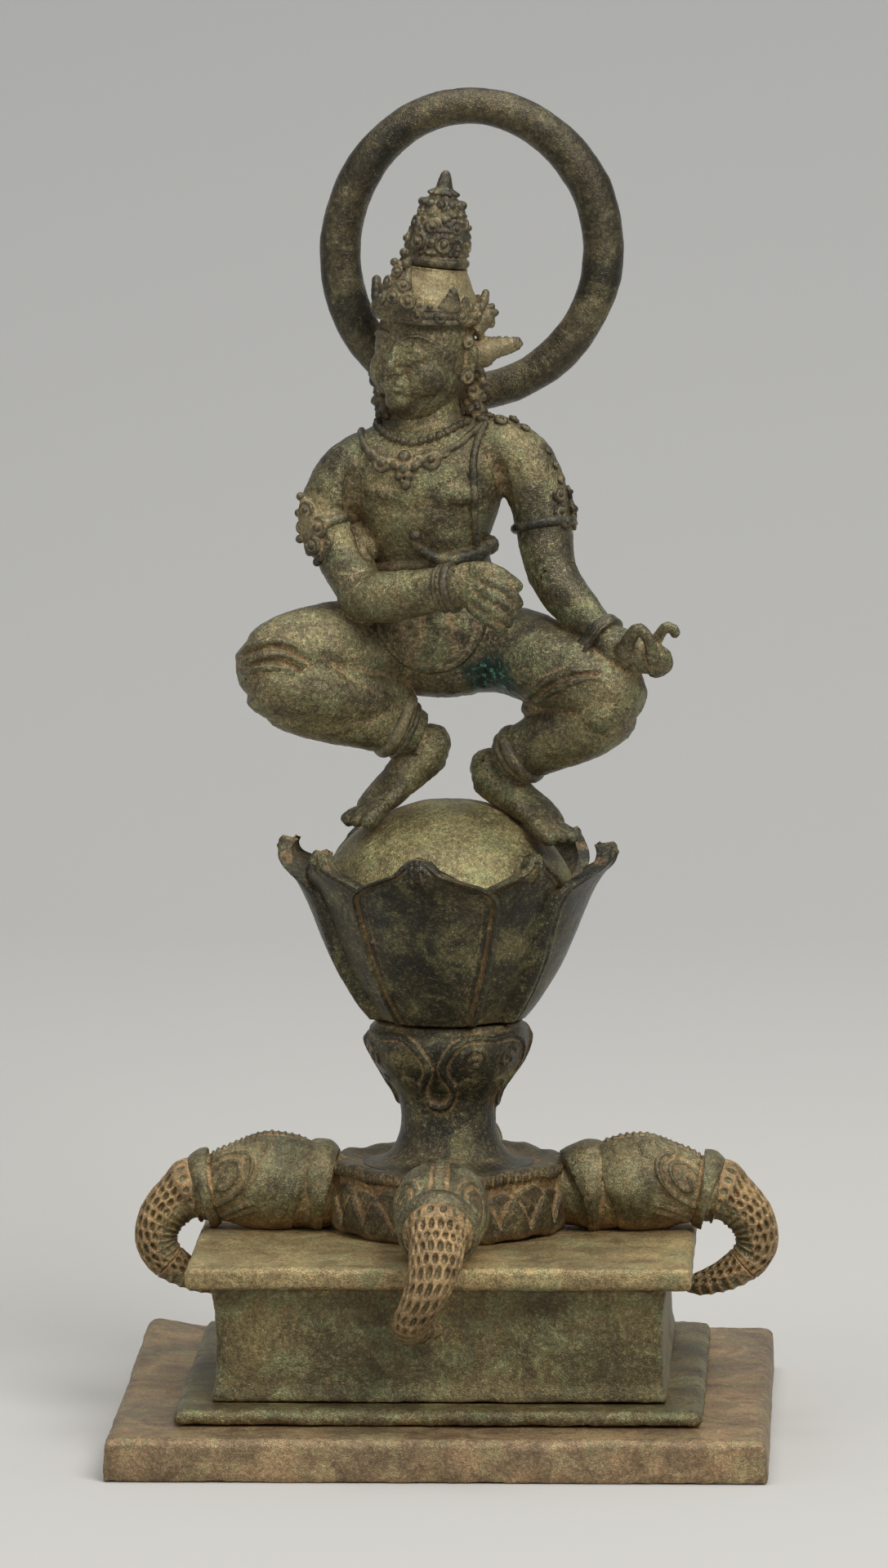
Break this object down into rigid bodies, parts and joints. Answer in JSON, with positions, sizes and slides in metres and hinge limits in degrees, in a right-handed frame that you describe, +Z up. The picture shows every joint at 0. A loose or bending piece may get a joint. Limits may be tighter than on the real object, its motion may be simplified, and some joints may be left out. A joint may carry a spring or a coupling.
{
  "type": "cast bronze crouching figure on a lotus pedestal",
  "caption": "Patinated bronze figure with a tall crown, squatting on an open lotus, with a ring halo behind the head and elephant-trunk spouts over a square stepped pedestal.",
  "frame": {"origin": "centre of the pedestal's underside, on the surface it stands on", "axes": "+Z up, the pedestal's front and the figure's chest face -Y, and the figure's left hand is on the +X side"},
  "size_m": [0.14, 0.14, 0.2911],
  "materials": {
    "pedestal_bronze": "cast bronze under a dull green and ochre-brown patina",
    "column_bronze": "cast bronze, dark brown-black on the high points with green and tan in the hollows",
    "elephant_bronze": "rough cast bronze with tan earth in its pits",
    "skin_bronze": "cast bronze, olive green with worn dark high points",
    "ornament_bronze": "cast bronze with tan earth between the raised ornament",
    "halo_bronze": "smooth cast bronze, dark on top and green-brown below"
  },
  "bodies": {
    "root": {"ankle_cuff_left": "ornament_bronze", "ankle_cuff_right": "ornament_bronze", "apron": "ornament_bronze", "armlet_left": "ornament_bronze", "armlet_right": "ornament_bronze", "bracelet_left": "ornament_bronze", "bracelet_right": "ornament_bronze", "cap_slab": "pedestal_bronze", "collar": "column_bronze", "crown_cap": "ornament_bronze", "crown_cone": "ornament_bronze", "cup": "column_bronze", "dado": "pedestal_bronze", "diadem": "ornament_bronze", "ear_ornament_left": "ornament_bronze", "ear_ornament_right": "ornament_bronze", "elephant_head_back": "elephant_bronze", "elephant_head_front": "elephant_bronze", "elephant_head_left": "elephant_bronze", "elephant_head_right": "elephant_bronze", "elephant_trunk_back": "elephant_bronze", "elephant_trunk_front": "elephant_bronze", "elephant_trunk_left": "elephant_bronze", "elephant_trunk_right": "elephant_bronze", "foot_left": "skin_bronze", "foot_right": "skin_bronze", "foot_slab": "pedestal_bronze", "forearm_left": "skin_bronze", "forearm_right": "skin_bronze", "halo_ring": "halo_bronze", "hand_left": "skin_bronze", "hand_right": "skin_bronze", "head": "skin_bronze", "hips": "skin_bronze", "nape_hair": "ornament_bronze", "neck": "skin_bronze", "necklace": "ornament_bronze", "petal_1": "column_bronze", "petal_2": "column_bronze", "petal_3": "column_bronze", "petal_4": "column_bronze", "petal_5": "column_bronze", "petal_6": "column_bronze", "petal_7": "column_bronze", "petal_8": "column_bronze", "plinth_step": "pedestal_bronze", "sacred_cord": "ornament_bronze", "seed_pod": "column_bronze", "shin_left": "skin_bronze", "shin_right": "skin_bronze", "stem": "column_bronze", "thigh_left": "skin_bronze", "thigh_right": "skin_bronze", "torso": "skin_bronze", "upper_arm_left": "skin_bronze", "upper_arm_right": "skin_bronze", "waist_sash": "ornament_bronze"}
  },
  "joints": []
}
